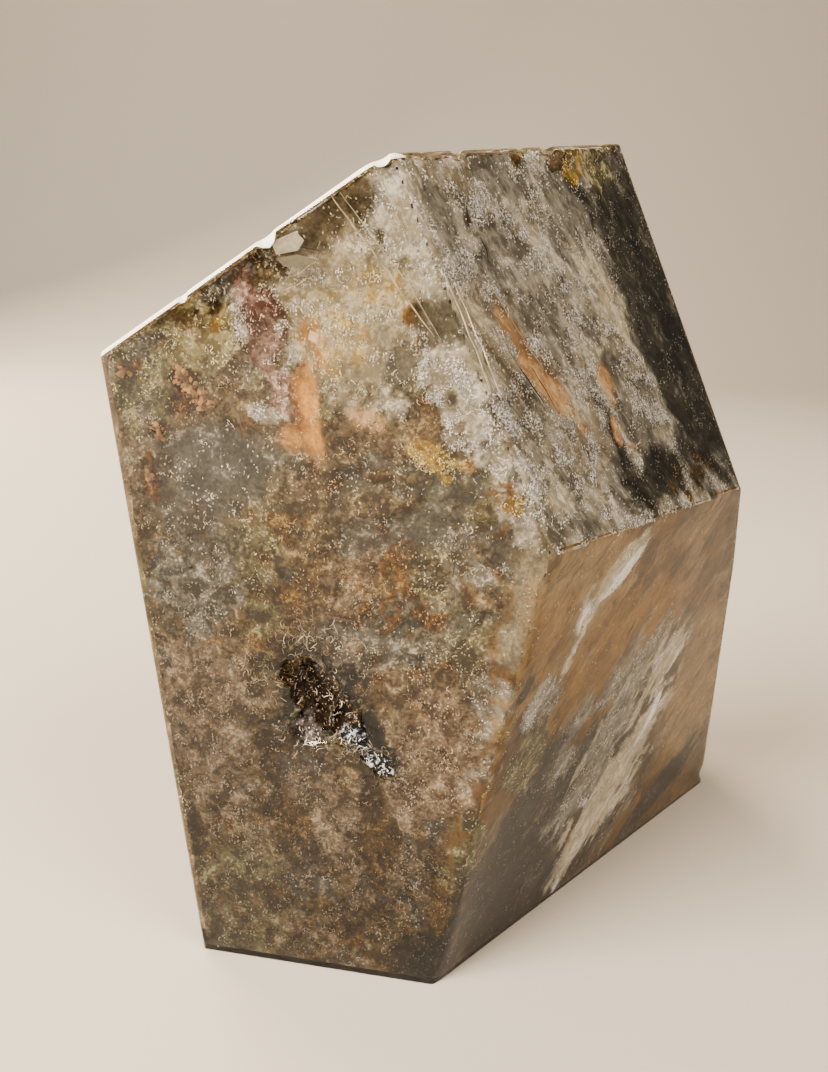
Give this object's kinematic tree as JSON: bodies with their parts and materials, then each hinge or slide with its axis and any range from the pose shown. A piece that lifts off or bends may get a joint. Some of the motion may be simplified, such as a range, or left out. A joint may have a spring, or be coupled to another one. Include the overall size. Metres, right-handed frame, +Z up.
{
  "type": "garden quartz freeform",
  "caption": "Polished clear quartz freeform with flat ground faces, softly rounded edges and a flat foot, for display on a shelf or table.",
  "frame": {"origin": "bottom centre of the stone's box, on the surface that it stands on", "axes": "+Z up; the widest face looks toward -Y and +X is to the right of someone who looks at it"},
  "size_m": [0.072, 0.0556, 0.085],
  "materials": {
    "clear_quartz": "polished clear quartz, clouded inside by mineral growths"
  },
  "bodies": {
    "root": {"quartz_freeform": "clear_quartz"}
  },
  "joints": []
}
